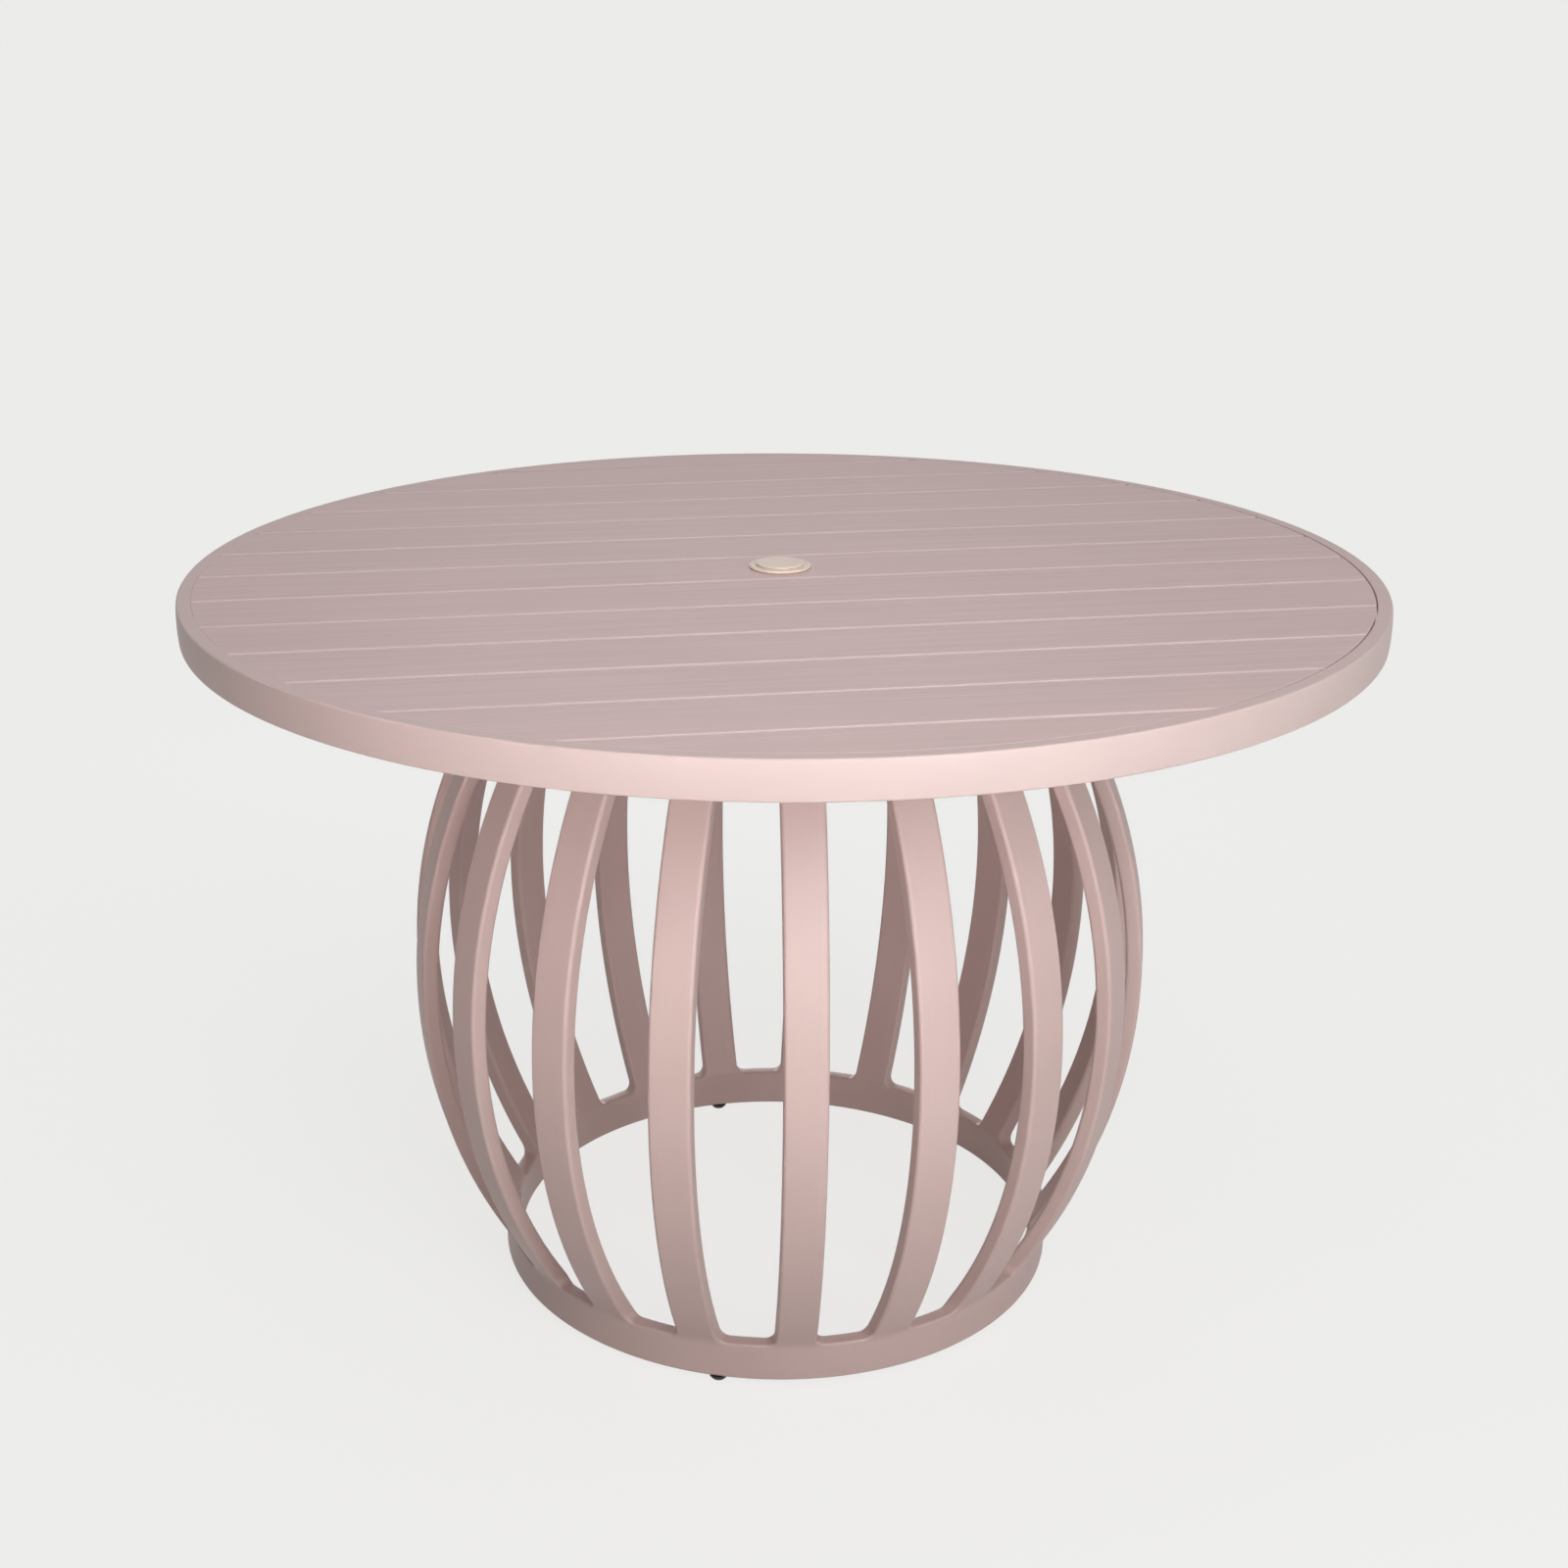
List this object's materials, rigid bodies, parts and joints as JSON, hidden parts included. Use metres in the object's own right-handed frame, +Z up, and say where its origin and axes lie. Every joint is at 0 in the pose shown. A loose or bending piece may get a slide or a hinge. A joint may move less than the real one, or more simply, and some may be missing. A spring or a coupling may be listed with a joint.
{
  "type": "umbrella table",
  "caption": "Round slatted aluminium patio table with a capped centre umbrella hole, on an open barrel base of curved ribs between two rings.",
  "frame": {"origin": "on the floor under the centre of the table", "axes": "+Z up through the umbrella hole, slats run along X"},
  "size_m": [1.143, 1.143, 0.7436],
  "materials": {
    "pink_powder_coat": "satin dusty pink powder coat, straight fine grain along the slats",
    "cream_plastic": "moulded cream plastic, soft gloss",
    "black_glide": "matte black polyethylene",
    "zinc_fastener": "zinc plated, dull"
  },
  "bodies": {
    "table": {"rim_band": "pink_powder_coat", "slat_01": "pink_powder_coat", "slat_02": "pink_powder_coat", "slat_03": "pink_powder_coat", "slat_04": "pink_powder_coat", "slat_05": "pink_powder_coat", "slat_06": "pink_powder_coat", "slat_07": "pink_powder_coat", "slat_08": "pink_powder_coat", "slat_09": "pink_powder_coat", "slat_10": "pink_powder_coat", "slat_11": "pink_powder_coat", "slat_12": "pink_powder_coat", "slat_13": "pink_powder_coat", "cross_bar_1": "pink_powder_coat", "cross_bar_2": "pink_powder_coat", "umbrella_plate": "pink_powder_coat", "top_ring": "pink_powder_coat", "rib_01": "pink_powder_coat", "rib_02": "pink_powder_coat", "rib_03": "pink_powder_coat", "rib_04": "pink_powder_coat", "rib_05": "pink_powder_coat", "rib_06": "pink_powder_coat", "rib_07": "pink_powder_coat", "rib_08": "pink_powder_coat", "rib_09": "pink_powder_coat", "rib_10": "pink_powder_coat", "rib_11": "pink_powder_coat", "rib_12": "pink_powder_coat", "rib_13": "pink_powder_coat", "rib_14": "pink_powder_coat", "rib_15": "pink_powder_coat", "rib_16": "pink_powder_coat", "rib_17": "pink_powder_coat", "rib_18": "pink_powder_coat", "rib_19": "pink_powder_coat", "base_ring": "pink_powder_coat", "mounting_tab_1": "pink_powder_coat", "mounting_tab_2": "pink_powder_coat", "mounting_tab_3": "pink_powder_coat", "mounting_tab_4": "pink_powder_coat", "umbrella_collar": "cream_plastic", "glide_1": "black_glide", "glide_2": "black_glide", "glide_3": "black_glide", "glide_4": "black_glide", "mounting_bolt_1": "zinc_fastener", "mounting_bolt_2": "zinc_fastener", "mounting_bolt_3": "zinc_fastener", "mounting_bolt_4": "zinc_fastener", "weld_nut_1": "zinc_fastener", "weld_nut_2": "zinc_fastener", "weld_nut_3": "zinc_fastener", "weld_nut_4": "zinc_fastener"},
    "plug": {"umbrella_plug": "cream_plastic"}
  },
  "joints": [
    {"name": "plug_lift", "type": "slide", "parent": "table", "child": "plug", "axis": [0, 0, 1], "range_m": [0, 0.05]}
  ]
}
